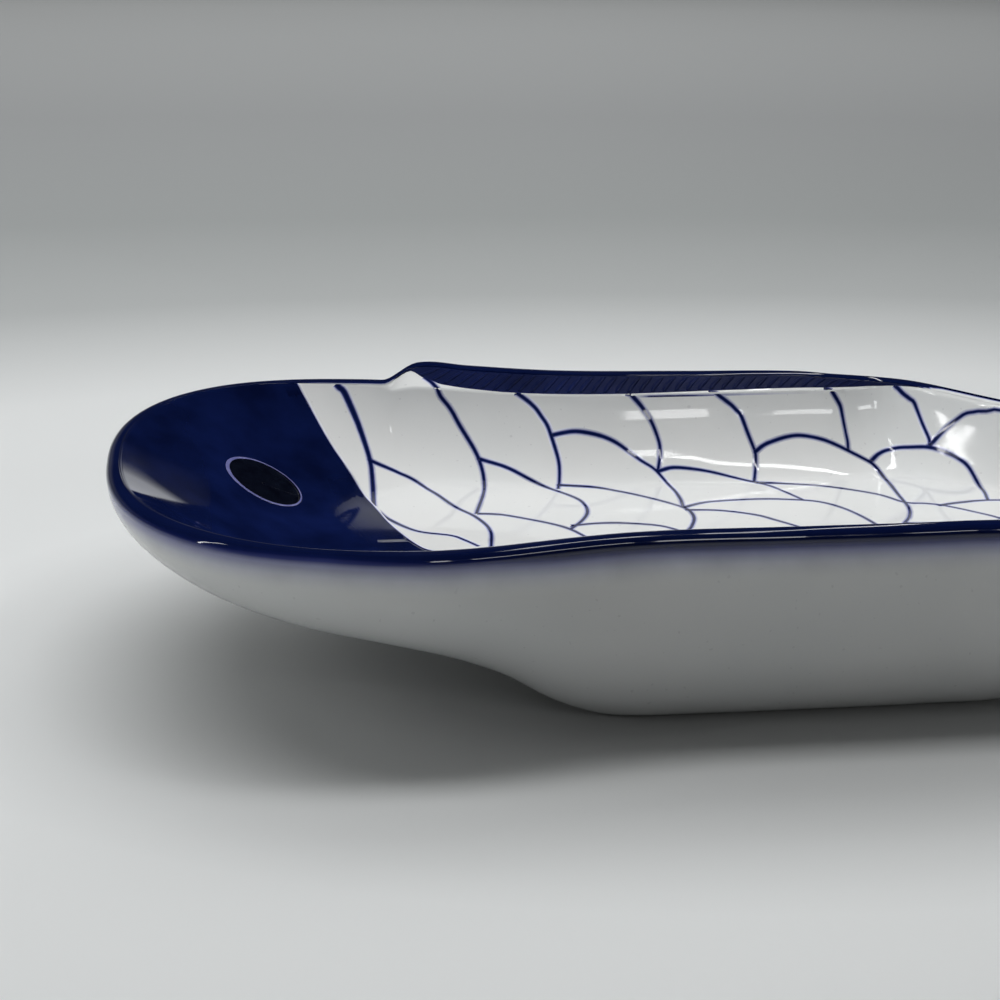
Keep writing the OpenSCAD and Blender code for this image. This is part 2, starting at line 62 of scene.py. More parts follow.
wrist_s = fish_l - tail_l
body_l = wrist_s - head_l


def along(share):
    """Station at a share of the way from the widest place of the head to the wrist of the tail."""
    return head_l + share * body_l


neck_s = along(0.25)
draw_s = along(0.865)
draw_half = 30.0
wrist_half = 21.0
side_places = [head_l, neck_s, along(0.44), along(0.615), along(0.73), draw_s, wrist_s]
back_breadths = [head_w / 2, 53.5, 53.0, 54.5, 56.0, draw_half, wrist_half]
belly_breadths = [head_w / 2, 55.5, 55.0, 54.5, 52.0, draw_half, wrist_half]

tail_half = 46.0
tip_s = fish_l - lip_r
fork_s = tip_s - 11.0
tail_s = fork_s - 20.0
lobe = np.array([(draw_s, draw_half), (wrist_s, wrist_half), (wrist_s + 23, 0.66 * tail_half),
                 (tip_s - 15, 0.95 * tail_half), (tip_s - 4, tail_half), (tip_s - 0.5, 0.88 * tail_half),
                 (fork_s + 4, 0.42 * tail_half), (fork_s, 0.0), (fork_s + 4, -0.42 * tail_half)])

well_depth = 21.0
tail_depth = 14.0
nose_rise = 12.0
head_floor = 0.25
body_floor = 0.62
wall_power = 1.9
head_wall = np.radians(45)
body_wall = np.radians(80)

foot_front = along(0.26)
foot_rear = along(0.82)
foot_share = 0.69
keel_share = 0.22
foot_bow = 8.0
foot_w = 7.0
foot_fade_out = 64.0
foot_fade_in = 11.0
hull_half = 53.0
hollow_h = 20.0
hollow_slope = 3.0
hollow_run = 16.0
tail_under = 26.0
rise_l = 46.0
throat_s = head_l + 7.5
hull_power = 2.15
head_power = 1.95
under_places = [0.0, head_l - 37.5, throat_s, foot_front - 28, foot_front - 14, foot_front]
under_heights = [26.5, 22.5, 14.5, 9.7, 2.8, 0.0]

fin_s = head_l + 6.5
fin_l = 139.0
fin_w = 7.1
fin_rise = 0.45
fin_blend = 1.5
fin_steps = [0.0, 0.06, 0.15, 0.35, 0.58, 0.81, 1.0]
fin_shares = [0.0, 1.0, 1.0, 0.92, 0.79, 0.6, 0.0]

nose_ribs = 56
body_ribs = 190
lobe_ribs = 12


def ease(x, a, b):
    """Smooth step: 0 before a, 1 after b, and 3t^2 - 2t^3 between."""
    t = np.clip((x - a) / (b - a), 0, 1)
    return t * t * (3 - 2 * t)


def curve(places, heights, x):
    """Cubic through the knots with the slope at a knot taken from its two neighbours, level at both ends."""
    k, h = np.asarray(places), np.asarray(heights)
    slope = np.zeros(len(k))
    slope[1:-1] = (h[2:] - h[:-2]) / (k[2:] - k[:-2])
    i = np.clip(np.searchsorted(k, x) - 1, 0, len(k) - 2)
    run = k[i + 1] - k[i]
    t = np.clip((x - k[i]) / run, 0, 1)
    rise = (2 * t**3 - 3 * t**2 + 1) * h[i] + (3 * t**2 - 2 * t**3) * h[i + 1]
    return rise + run * ((t**3 - 2 * t**2 + t) * slope[i] + (t**3 - t**2) * slope[i + 1])


def spline(points, steps):
    """Catmull-Rom curve from the second to the last but one point, steps points a span after its start."""
    p = np.asarray(points, float)[:, None]
    t = (np.arange(1, steps + 1) / steps)[None, :, None]
    a, b, c, d = p[:-3], p[1:-2], p[2:-1], p[3:]
    span = b + 0.5 * ((c - a) * t + (2 * a - 5 * b + 4 * c - d) * t**2 + (3 * b - a - 3 * c + d) * t**3)
    return span.reshape(-1, 2)


def side_line(breadths):
    """Crest of one side: a superellipse round the nose, the body's breadth curve, then the tail's lobe."""
    a = np.linspace(0, np.pi / 2, nose_ribs + 1)[1:]
    bend = 2 / nose_power
    nose_s = head_l - (head_l - lip_r) * np.cos(a).clip(0) ** bend
    nose = np.stack([nose_s, head_w / 2 * np.sin(a) ** bend], -1)
    s = np.linspace(head_l, wrist_s, body_ribs + 1)[1:]
    body = np.stack([s, curve(side_places, breadths, s)], -1)
    return np.concatenate([nose, body, spline(lobe, lobe_ribs)[:-1]])


def floor_z(s):
    """Height of the well's floor: level in the body, rising to the nose and into the shallower tail."""
    to_tail = (well_depth - tail_depth) * ease(s, draw_s, tail_s + 6)
    return rim_h - well_depth + nose_rise * (1 - ease(s, 0, head_l - 6.5)) + to_tail


belly_line = side_line(belly_breadths) * [1, -1]
back_line = side_line(back_breadths)
fork_rib = len(belly_line) + 1
crest = np.concatenate([[[lip_r, 0]], belly_line, [[fork_s, 0]], back_line[::-1]])
rib_count = len(crest)
along_rim = np.roll(crest, -1, 0) - np.roll(crest, 1, 0)
outward = np.stack([along_rim[:, 1], -along_rim[:, 0]], -1)
outward /= np.linalg.norm(outward, axis=1, keepdims=True)
stations = crest[:, 0]
spine_at = np.clip(stations, head_l, tail_s)
fin_reach = fin_w * curve(fin_steps, fin_shares, np.clip((stations - fin_s) / fin_l, 0, 1))
fin_reach[:fork_rib + 1] = 0
crest_z = rim_h + nose_lift * (1 - ease(stations, 0, neck_s - 27))
lip_mid = np.column_stack([crest + fin_reach[:, None] * outward, crest_z - lip_r + fin_rise * fin_reach])
floor_share = head_floor + (body_floor - head_floor) * ease(stations, head_l - 34.5, neck_s - 20)
wall_top = head_wall + (body_wall - head_wall) * ease(stations, head_l - 27.5, neck_s - 27)
# The wall meets the lip's circle where the two have the same slope, except under the fin, which overhangs it.
wall_l = (1 - floor_share) * np.linalg.norm(crest - np.column_stack([spine_at, 0 * stations]), axis=1)
wall_h = crest_z - floor_z(stations)
wall_slope = wall_h * np.sin(wall_top) ** 2 / (wall_l * np.cos(wall_top) * (1 - np.cos(wall_top)))
edge_turn = 90 + np.degrees(np.arctan(wall_slope))
edge_turn += (180 - edge_turn) * np.clip(fin_reach / fin_blend, 0, 1)
lip_turn = np.minimum(lip_start, edge_turn - lip_lead)
edge_r = lip_r * (1 - 0.5 * fin_reach / fin_w)
edge_out = edge_r * np.cos(np.radians(edge_turn))
edge_up = edge_r * (np.sin(np.radians(edge_turn)) - 1)
well_edge = np.column_stack([crest + edge_out[:, None] * outward, crest_z + edge_up])
flat_share = ease(stations, foot_front - foot_fade_out, foot_front + foot_fade_in)
flat_share *= 1 - ease(stations, foot_rear - foot_fade_in, foot_rear + foot_fade_out)
under_share = keel_share + (foot_share - keel_share) * flat_share
roundness = head_power + (hull_power - head_power) * ease(stations, 10, neck_s - 22)
rib_table = np.column_stack([spine_at, well_edge, lip_mid, outward, fin_reach, floor_share, under_share,
                             roundness, wall_top, edge_turn, lip_turn])
rib_table = np.concatenate([rib_table, rib_table[:1]])


def rib_values(u):
    """Values of the rib table at rib number u, linear between ribs and closed round the rim."""
    u = np.mod(u, rib_count)
    i = np.floor(u).astype(int)
    w = (u - i)[..., None]
    return rib_table[i] * (1 - w) + rib_table[i + 1] * w


def keel_z(p):
    """Height of the underside: the curve under the head, level on the foot, eased up again to the tail."""
    bow = foot_bow * (1 - np.minimum(1, np.abs(p[..., 1]) / (foot_share * hull_half)) ** 2)
    front = np.minimum(foot_front, p[..., 0] + bow * ease(p[..., 0], throat_s, foot_front))
    rear = tail_under * ease(p[..., 0] - bow, foot_rear, foot_rear + rise_l)
    return curve(under_places, under_heights, front) + rear


def skin(u, v):
    """Point of the dish's surface at rib u and place v of the section, in stations.

    v from 0 to 1 runs over the flat floor from the spine, to 2 up the well's elliptical wall, to 3 over the
    inner lip or the fin's face, to 4 round the lip's circle, to 5 down the outer wall's superellipse, to 6
    over the foot ring, to 7 up the side of the hollow, and to 8 back to the spine below.
    """
    u, v = np.broadcast_arrays(np.asarray(u, float), np.asarray(v, float))
    values = rib_values(u)
    spine = np.stack([values[..., 0], 0 * u], -1)
    edge, mid, out = values[..., 1:4], values[..., 4:7], values[..., 7:9]
    reach, flat, under, power, top, turn, lip_from = (values[..., k] for k in range(9, 16))

    def circle(angle):
        """Arm of the lip's circle at an angle above the outward direction."""
        a = np.radians(angle)[..., None]
        return lip_r * np.concatenate([np.cos(a) * out, np.sin(a)], -1)

    bend = 2 / wall_power
    angle = top * np.clip(v - 1, 0, 1)
    run = np.where(v < 1, v * flat, flat + (1 - flat) * (np.sin(angle) / np.sin(top)) ** bend)
    rise = (1 - np.cos(angle) ** bend) / (1 - np.cos(top) ** bend)
    well = spine + run[..., None] * (edge[..., :2] - spine)
    bottom = floor_z(well[..., 0])
    well = np.concatenate([well, (bottom + (edge[..., 2] - bottom) * rise)[..., None]], -1)

    t = np.clip(v - 2, 0, 1)[..., None]
    bulge = circle(turn + (lip_from - turn) * t[..., 0]) - circle(turn) * (1 - t) - circle(lip_from) * t
    round_share = 1 - np.clip(reach / fin_blend, 0, 1)[..., None]
    face = edge * (1 - t) + (mid + circle(lip_from)) * t + bulge * round_share

    lip = mid + circle(lip_from - (lip_from + lip_end) * np.clip(v - 3, 0, 1))

    low = mid + circle(-lip_end + 0 * u)
    bend = 2 / power
    angle = np.pi / 2 * np.clip(5 - v, 0, 1)
    run = under + (1 - under) * np.sin(angle) ** bend
    wall = spine + run[..., None] * (low[..., :2] - spine)
    bottom = keel_z(wall)
    wall_z = bottom + (low[..., 2] - bottom) * (1 - np.cos(angle).clip(0) ** bend)
    wall = np.concatenate([wall, wall_z[..., None]], -1)

    reach_in = under * np.linalg.norm(low[..., :2] - spine, axis=-1)
    ring = np.minimum(0.4 * reach_in, foot_w)
    slope = np.minimum(0.6 * reach_in, foot_w + hollow_slope)
    inset = np.select([v < 6, v < 7], [ring * (v - 5), ring + (slope - ring) * (v - 6)],
                      slope + (reach_in - slope) * (v - 7))
    base = spine + (under * (1 - inset / reach_in))[..., None] * (low[..., :2] - spine)
    room = ease(base[..., 0], foot_front, foot_front + hollow_run)
    room = room * (1 - ease(base[..., 0], foot_rear - hollow_run, foot_rear))
    base = np.concatenate([base, (keel_z(base) + hollow_h * room * ease(v, 6, 7))[..., None]], -1)

    place = v[..., None]
    return np.select([place < 2, place < 3, place < 4, place < 5], [well, face, lip, wall], base)


# The nose and the belly side of the rim's coat give the shift from stations to the frame.
rim_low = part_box("rim_glaze")[0]
rim_out = (lip_r + coat_t) * np.cos(np.radians(lip_end))
frame_shift = np.array([rim_low[0] - (lip_r - rim_out) * mm, rim_low[1] + (head_w / 2 + rim_out) * mm, 0])


def make_piece(name, sheets, closed=False, **values):
    """Mesh of one or more grids of points; a face's normal is its row's direction crossed with its column's.

    Each value is an attribute, given as one array of numbers per sheet.
    """
    points, faces, first = [], [], 0
    for sheet in sheets:
        rows, columns = sheet.shape[:2]
        number = first + np.arange(rows * columns).reshape(rows, columns)
        if closed:
            number = np.concatenate([number, number[:, :1]], 1)
        corner = [number[:-1, :-1], number[1:, :-1], number[1:, 1:], number[:-1, 1:]]
        faces.append(np.stack(corner, -1).reshape(-1, 4))
        points.append(sheet.reshape(-1, 3))
        first += rows * columns
    points, faces = np.concatenate(points) * mm + frame_shift, np.concatenate(faces)
    mesh = bpy.data.meshes.new(name)
    mesh.vertices.add(len(points))
    mesh.vertices.foreach_set("co", points.ravel())
    mesh.loops.add(faces.size)
    mesh.loops.foreach_set("vertex_index", faces.ravel().astype(np.int32))
    mesh.polygons.add(len(faces))
    mesh.polygons.foreach_set("loop_start", np.arange(0, faces.size, 4, dtype=np.int32))
    mesh.polygons.foreach_set("use_smooth", np.ones(len(faces), bool))
    for key, numbers in values.items():
        layer = mesh.attributes.new(key, "FLOAT", "POINT")
        layer.data.foreach_set("value", np.concatenate([np.ravel(n) for n in numbers]).astype(np.float32))
    mesh.update(calc_edges=True)
    piece = bpy.data.objects.new(name, mesh)
    bpy.context.scene.collection.objects.link(piece)
    return piece


def weld(piece):
    """Joins the points that lie together, which closes the seams along the spine."""
    work = bmesh.new()
    work.from_mesh(piece.data)
    bmesh.ops.remove_doubles(work, verts=work.verts, dist=0.002 * mm)
    work.to_mesh(piece.data)
    work.free()


section_steps = [18, 44, 12, 14, 34, 3, 6, 10]
section = np.concatenate([k + np.arange(n) / n for k, n in enumerate(section_steps)] + [[8.0]])
# Painted shade: the white glaze of the outer wall is made greyer to stand for the shade it lies in.
outer_shade = 0.70


def glaze_shade(v):
    """Painted shade of the glaze: 1 inside and over the lip, greyer down the outer wall, which lies in shade.
    """
    return 1 - (1 - outer_shade) * ease(v, 3.6, 4.02)


body = make_piece("clay_body", [skin(np.arange(rib_count)[None], section[:, None])], closed=True,
                  shade=[np.broadcast_to(glaze_shade(section)[:, None], (len(section), rib_count))])
weld(body)


def add_node(tree, kind, **inputs):
    """New node; an input that is a socket is linked, any other is set as the socket's value."""
    node = tree.nodes.new(kind)
    for key, value in inputs.items():
        socket = node.inputs[key.replace("_", " ")]
        if isinstance(value, bpy.types.NodeSocket):
            tree.links.new(value, socket)
        else:
            socket.default_value = value
    return node


def noise(tree, where, scale, detail=2.0):
    """Noise value at a scale per metre."""
    return add_node(tree, "ShaderNodeTexNoise", Vector=where, Scale=scale, Detail=detail).outputs["Fac"]


def math(tree, operation, a, b=0.0, clamp=False):
    """One arithmetic node of two values."""
    node = tree.nodes.new("ShaderNodeMath")
    node.operation = operation
    node.use_clamp = clamp
    for socket, value in zip(node.inputs, (a, b)):
        if isinstance(value, bpy.types.NodeSocket):
            tree.links.new(value, socket)
        else:
            socket.default_value = value
    return node.outputs[0]


def remap(tree, value, low, high, to_low, to_high):
    """Linear change of range, held at its ends."""
    node = add_node(tree, "ShaderNodeMapRange", Value=value)
    for key, number in (("From Min", low), ("From Max", high), ("To Min", to_low), ("To Max", to_high)):
        node.inputs[key].default_value = number
    return node.outputs[0]


def blend(tree, share, a, b, kind="MIX"):
    """Mix of two colours by a share."""
    node = tree.nodes.new("ShaderNodeMix")
    node.data_type = "RGBA"
    node.blend_type = kind
    for name, value in (("Factor_Float", share), ("A_Color", a), ("B_Color", b)):
        socket = next(k for k in node.inputs if k.identifier == name)
        if isinstance(value, bpy.types.NodeSocket):
            tree.links.new(value, socket)
        else:
            socket.default_value = value
    return next(k for k in node.outputs if k.identifier == "Result_Color")


def ramp(tree, value, stops):
    """Colour ramp through the stops, each a place and a colour."""
    node = add_node(tree, "ShaderNodeValToRGB", Fac=value)
    band = node.color_ramp
    while len(band.elements) < len(stops):
        band.elements.new(0.5)
    for element, (place, colour) in zip(band.elements, stops):
        element.position = place
        element.color = (*colour, 1)
    return node.outputs["Color"]


def new_group(name, inputs, outputs):
    """Empty shader group with named sockets."""
    group = bpy.data.node_groups.new(name, "ShaderNodeTree")
    for direction, sockets in (("INPUT", inputs), ("OUTPUT", outputs)):
        for key, kind in sockets:
            group.interface.new_socket(key, in_out=direction, socket_type=kind)
    return group, group.nodes.new("NodeGroupInput").outputs, group.nodes.new("NodeGroupOutput").inputs


# Gloss of the fired glaze: slow waves from dipping, a faint orange peel, and patches a little less smooth.
glaze_gloss, given, result = new_group(
    "glaze_gloss", [("Where", "NodeSocketVector")],
    [("Height", "NodeSocketFloat"), ("Roughness", "NodeSocketFloat")])
waves = noise(glaze_gloss, given["Where"], 38, 1.0)
peel = math(glaze_gloss, "MULTIPLY", noise(glaze_gloss, given["Where"], 420, 1.0), 0.018)
glaze_gloss.links.new(math(glaze_gloss, "ADD", waves, peel), result["Height"])
patches = remap(glaze_gloss, noise(glaze_gloss, given["Where"], 55, 3.0), 0.35, 0.7, 0.03, 0.09)
glaze_gloss.links.new(patches, result["Roughness"])

# Cobalt under the glaze: full colour where Fade is 0, thinning through blue and lavender to white glaze at 1.
# The white has faint clouds and specks, and the colour is blotched where the brush left more or less of it.
cobalt_wash, given, result = new_group(
    "cobalt_wash", [("Where", "NodeSocketVector"), ("Fade", "NodeSocketFloat"), ("Blotch", "NodeSocketFloat"),
                    ("Shade", "NodeSocketFloat")],
    [("Color", "NodeSocketColor")])
clouds = noise(cobalt_wash, given["Where"], 30, 3.0)
white = ramp(cobalt_wash, clouds, [(0.3, (0.87, 0.89, 0.885)), (0.7, (0.91, 0.92, 0.91))])
specks = remap(cobalt_wash, noise(cobalt_wash, given["Where"], 900, 0.0), 0.16, 0.2, 1.0, 0.0)
white = blend(cobalt_wash, math(cobalt_wash, "MULTIPLY", specks, 0.25), white, (0.5, 0.5, 0.52, 1))
colour = ramp(cobalt_wash, given["Fade"], [
    (0.0, (0.0033, 0.0075, 0.046)), (0.09, (0.0060, 0.0120, 0.078)), (0.18, (0.050, 0.062, 0.22)),
    (0.30, (0.33, 0.35, 0.56)), (0.55, (0.70, 0.72, 0.81)), (1.0, (0.87, 0.89, 0.88))])
blotches = noise(cobalt_wash, given["Where"], 70, 4.0)
bright = remap(cobalt_wash, blotches, 0.3, 0.72, 0.62, 1.75)
even = math(cobalt_wash, "SUBTRACT", 1.0, given["Blotch"])
share = math(cobalt_wash, "ADD", math(cobalt_wash, "MULTIPLY", bright, given["Blotch"]), even)
colour = blend(cobalt_wash, 1.0, colour, share, "MULTIPLY")
bare = remap(cobalt_wash, given["Fade"], 0.55, 1.0, 0.0, 1.0)
colour = blend(cobalt_wash, bare, colour, white)
# Shade multiplies the whole colour: painted shade, darker where the surface stands in shade.
cobalt_wash.links.new(blend(cobalt_wash, 1.0, colour, given["Shade"], "MULTIPLY"), result["Color"])


def glaze_material(name, fade=None, blotch=0.0, wobble=0.0, wobble_scale=900.0, shade=None, matt=0.0,
                   shine=0.5):
    """Glossy glaze: white, or cobalt that thins with the piece's own fade attribute, moved a little by noise.

    Its painted shade attribute darkens it, matt is its least roughness and shine is how strongly it mirrors.
    """
    material = bpy.data.materials.new(name)
    material.use_nodes = True
    tree = material.node_tree
    shader = tree.nodes["Principled BSDF"]
    where = tree.nodes.new("ShaderNodeTexCoord").outputs["Object"]
    wash = tree.nodes.new("ShaderNodeGroup")
    wash.node_tree = cobalt_wash
    wash.inputs["Fade"].default_value = 1.0
    wash.inputs["Blotch"].default_value = blotch
    wash.inputs["Shade"].default_value = 1.0
    if shade:
        reader = tree.nodes.new("ShaderNodeAttribute")
        reader.attribute_name = shade
        tree.links.new(reader.outputs["Fac"], wash.inputs["Shade"])
    tree.links.new(where, wash.inputs["Where"])
    if fade:
        reader = tree.nodes.new("ShaderNodeAttribute")
        reader.attribute_name = fade
        moved = math(tree, "MULTIPLY", math(tree, "SUBTRACT", noise(tree, where, wobble_scale), 0.5), wobble)
        tree.links.new(math(tree, "ADD", reader.outputs["Fac"], moved, clamp=True), wash.inputs["Fade"])
    gloss = tree.nodes.new("ShaderNodeGroup")
    gloss.node_tree = glaze_gloss
    tree.links.new(where, gloss.inputs["Where"])
    bump = add_node(tree, "ShaderNodeBump", Strength=0.35, Distance=0.0009, Height=gloss.outputs["Height"])
    shader.inputs["IOR"].default_value = 1.52
    shader.inputs["Specular IOR Level"].default_value = shine
    tree.links.new(wash.outputs["Color"], shader.inputs["Base Color"])
    rough = math(tree, "MAXIMUM", gloss.outputs["Roughness"], matt) if matt else gloss.outputs["Roughness"]
    tree.links.new(rough, shader.inputs["Roughness"])
    tree.links.new(bump.outputs["Normal"], shader.inputs["Normal"])
    return material


white_glaze = glaze_material("white_glaze", shade="shade")
tree = white_glaze.node_tree
shader = tree.nodes["Principled BSDF"]
where = next(n for n in tree.nodes if n.bl_idname == "ShaderNodeTexCoord").outputs["Object"]
height = add_node(tree, "ShaderNodeSeparateXYZ", Vector=where).outputs["Z"]
ragged = math(tree, "MULTIPLY", math(tree, "SUBTRACT", noise(tree, where, 700), 0.5), 0.0006)
bare_foot = remap(tree, math(tree, "ADD", height, ragged), 0.00015, 0.00035, 1.0, 0.0)
clay = ramp(tree, noise(tree, where, 1500, 4.0), [(0.3, (0.50, 0.46, 0.38)), (0.7, (0.66, 0.62, 0.54))])
glazed = shader.inputs["Base Color"].links[0].from_socket
tree.links.new(blend(tree, bare_foot, glazed, clay), shader.inputs["Base Color"])
smooth = shader.inputs["Roughness"].links[0].from_socket
rough = math(tree, "MAXIMUM", smooth, math(tree, "MULTIPLY", bare_foot, 0.8))
tree.links.new(rough, shader.inputs["Roughness"])
body.data.materials.append(white_glaze)
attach(body, "root")
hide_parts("body")


# Head colour
# A flood of dark cobalt glaze brushed over the inside of the head. Its edge slants back from the back rim to
# the belly rim, and a little colour bleeds into the white glaze beside it when the dish is fired.
def section_place(run, values):
    """Section place v of a share of a rib's run: the floor's share, then the wall's ellipse turned round."""
    flat, top = values[..., 10], values[..., 13]
    climb = np.clip((run - flat) / (1 - flat), 0, 1)
    angle = np.arcsin(np.clip(np.sin(top) * climb ** (wall_power / 2), 0, 1))
    return np.where(run < flat, run / flat, 1 + angle / top)


def place_on_skin(points):
    """Rib number and section place of plan points, the rib found by halving; v is over 2 past the well."""
    p = np.asarray(points, float)
    low = np.where(p[..., 1] < 0, 0.0, fork_rib)
    high = np.where(p[..., 1] < 0, fork_rib, float(rib_count) - 1e-9)
    for _ in range(36):
        u = (low + high) / 2
        values = rib_values(u)
        along_rib = values[..., 1:3] - np.stack([values[..., 0], 0 * u], -1)
        to_point = p - np.stack([values[..., 0], 0 * u], -1)
        ahead = along_rib[..., 0] * to_point[..., 1] - along_rib[..., 1] * to_point[..., 0] > 0
        low = np.where(ahead, u, low)
        high = np.where(ahead, high, u)
    length = np.linalg.norm(along_rib, axis=-1)
    run = np.linalg.norm(to_point, axis=-1) / length
    lip_w = values[..., 9] * (1 - 0.5 * lip_r / fin_w) + lip_r * (1 - np.cos(np.radians(40)))
    v = np.where(run < 1, section_place(run, values), 2 + np.clip((run - 1) * length / lip_w, 0, 1))
    return u, v


def skin_slopes(u, v):
    """Changes of the surface point per rib and per section step, by central differences."""
    du, dv = 0.2, 0.004
    across = (skin(u + du, v) - skin(u - du, v)) / (2 * du)
    up = (skin(u, np.minimum(v + dv, 8)) - skin(u, np.maximum(v - dv, 0))) / (2 * dv)
    return across, up


def lifted(u, v, height):
    """Surface point moved out along the normal, which is the section's slope crossed with the rim's."""
    across, up = skin_slopes(u, v)
    normal = np.cross(up, across)
    size = np.linalg.norm(normal, axis=-1, keepdims=True)
    normal = np.where(size > 1e-7, normal / np.maximum(size, 1e-9), [0, 0, 1])
    return skin(u, v) + np.asarray(height)[..., None] * normal


def spaced(points, line, step):
    """Points of a line moved to equal steps of the length along a second form of the same line."""
    length = np.concatenate([[0], np.cumsum(np.linalg.norm(np.diff(points, axis=0), axis=1))])
    even = np.linspace(0, length[-1], max(5, int(length[-1] / step)))
    return np.stack([np.interp(even, length, line[:, k]) for k in range(line.shape[1])], -1)


def surface_line(points, step=0.7, last=2.95):
    """Smooth plan curve through the points, cut where it leaves the well, in even steps along the surface."""
    p = np.asarray(points, float)
    p = np.concatenate([[2 * p[0] - p[1]], p, [2 * p[-1] - p[-2]]])
    fine = np.concatenate([p[1:2], spline(p, 24)])
    fine = spaced(fine, fine, 0.04)
    u, v = place_on_skin(fine)
    return spaced(skin(u, v)[v < last], fine[v < last], step)


def settle(target, u, v):
    """Surface place nearest to each point, by short steps along the slopes; the flat floor stays as it is."""
    for _ in range(8):
        across, up = skin_slopes(u, v)
        gap = target - skin(u, v)
        a, b, c = (across * across).sum(-1), (across * up).sum(-1), (up * up).sum(-1)
        x, y = (gap * across).sum(-1), (gap * up).sum(-1)
        scale = np.maximum(a * c - b * b, 1e-9)
        wall = v > 0.9
        u = u + np.where(wall, np.clip((c * x - b * y) / scale, -1, 1), 0)
        v = np.clip(v + np.where(wall, np.clip((a * y - b * x) / scale, -0.1, 0.1), 0), 0, 3)
    return u, v


def ribbon(line, offsets, height):
    """Strip on the surface along a plan line, each column at its distance to the side, across the line's run.

    The side is the normal crossed with the run; a point to the side is brought back to the surface.
    """
    u, v = place_on_skin(line)
    middle = skin(u, v)
    run = np.gradient(middle, axis=0)
    run /= np.linalg.norm(run, axis=1, keepdims=True)
    across, up = skin_slopes(u, v)
    normal = np.cross(up, across)
    size = np.linalg.norm(normal, axis=1, keepdims=True)
    normal = np.where(size > 1e-6, normal / np.maximum(size, 1e-9), [0, 0, 1])
    side = np.cross(normal, run)
    target = middle[:, None] + (offsets + 0 * u[:, None])[..., None] * side[:, None]
    u, v = settle(target, *place_on_skin(target[..., :2]))
    inside = smooth_inside(skin(u, v))
    return lifted(u, v, height * (1 - inside) - coat_skin * inside)


def smooth_inside(points):
    """How far points lie in the colour of the head or the tail: 0 outside, 1 from half a millimetre in."""
    head_side = np.interp(-points[..., 1], -head_edge[:, 1], head_edge[:, 0]) - points[..., 0]
    tail_side = points[..., 0] - tail_edge_at(points[..., 1])
    return np.clip(np.maximum(head_side, tail_side) / 0.5, 0, 1)


def tail_edge_at(y):
    """Station of the tail colour's edge at a distance from the spine: a bow of one cosine."""
    return tail_edge_s + tail_bow * (1 - np.cos(np.radians(1.5 * y)))


def rib_crossing(line):
    """Share of each rib's run at which the rib crosses a plan line, or none."""
    base = np.stack([rib_table[:-1, 0], 0 * stations], -1)[:, None]
    arm = (well_edge[:, :2] - base[:, 0])[:, None]
    start, step = line[None, :-1], np.diff(line, axis=0)[None]
    turn = arm[..., 0] * step[..., 1] - arm[..., 1] * step[..., 0]
    gap = start - base
    share = (gap[..., 0] * step[..., 1] - gap[..., 1] * step[..., 0]) / turn
    place = (gap[..., 0] * arm[..., 1] - gap[..., 1] * arm[..., 0]) / turn
    hit = (place >= 0) & (place <= 1) & (share > 0) & (share <= 1)
    return np.where(hit.any(1), np.where(hit, share, -1).max(1), np.nan)


def coat_field(ribs, run_low, run_high, height, steps=56):
    """Field of a coat: each rib from one share of its run to another, with points closer up the wall."""
    t = np.linspace(0, 1, steps)[:, None]
    run = run_low + (run_high - run_low) * (1 - (1 - t) ** 1.6)
    place = section_place(run, rib_values(ribs))
    return lifted(ribs + 0 * place, place, height + 0 * place)


def finish_coat(piece, node, material):
    """Gives a coat its thickness, its glaze and its place on the dish."""
    solid = piece.modifiers.new("thickness", "SOLIDIFY")
    solid.thickness = coat_skin * 0.6 * mm
    solid.offset = -1
    piece.data.materials.append(material)
    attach(piece, "root")
    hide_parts(node)


coat_skin = 0.05
tail_edge_s = wrist_s - 12
tail_bow = 12.0
head_edge_back = head_l - 16
head_edge = surface_line([
    (head_edge_back - 4.5, head_w / 2 + 5), (head_edge_back, 61), (head_edge_back + 3.1, 56.5),
    (head_edge_back + 7.8, 48.7), (head_edge_back + 12.4, 40.3), (head_edge_back + 16.4, 26.5),
    (head_edge_back + 20, 10.2), (head_edge_back + 25.7, -5.3), (head_edge_back + 34, -17),
    (head_l + 33.5, -head_w / 2 - 5)])
crossing = rib_crossing(head_edge)
belly_ribs = np.flatnonzero((np.arange(rib_count) < fork_rib) & ~np.isnan(crossing) & (stations > head_l))
back_ribs = np.flatnonzero((np.arange(rib_count) > fork_rib) & ~np.isnan(crossing))
head_ribs = np.concatenate([np.arange(back_ribs[0], rib_count), np.arange(0, belly_ribs[-1] + 1)])
has_edge = ~np.isnan(crossing[head_ribs])
on_belly = head_ribs < fork_rib
run_low = np.where(has_edge & on_belly, np.nan_to_num(crossing[head_ribs]), 0)
run_high = np.where(has_edge & ~on_belly, np.nan_to_num(crossing[head_ribs]), 1)
head_field = coat_field(head_ribs.astype(float), run_low, run_high, coat_skin)
full_ribs = head_ribs[run_high >= 1].astype(float)
head_lip = lifted(full_ribs[None], np.linspace(2, 3, 10)[:, None], coat_skin + 0 * full_ribs)
edge_u, edge_v = place_on_skin(head_edge)
at_back = (head_edge[:, 1] > 0) & (edge_v > 1.4)
corner_v = np.linspace(1.9, 2.94, 12)[:, None]
corner_t = np.linspace(0, 1, 8)
corner_u = np.interp(corner_v, edge_v[at_back][::-1], edge_u[at_back][::-1])
corner_u = corner_u + (full_ribs[3] - corner_u) * corner_t
corner_lift = coat_skin * (0.9 - 1.5 * ease(corner_t, 0.5, 1)) * ease(corner_v, 1.86, 1.96)
head_corner = lifted(corner_u, corner_v + 0 * corner_u, corner_lift)
bleed_w = 0.9
bleed_at = np.linspace(0, bleed_w, 6)[::-1]
bleed_lift = coat_skin * np.linspace(-0.4, 0.8, 6)
bleed_fade = 0.12 + 0.88 * bleed_at / bleed_w
head_bleed = ribbon(head_edge, bleed_at[None], bleed_lift)
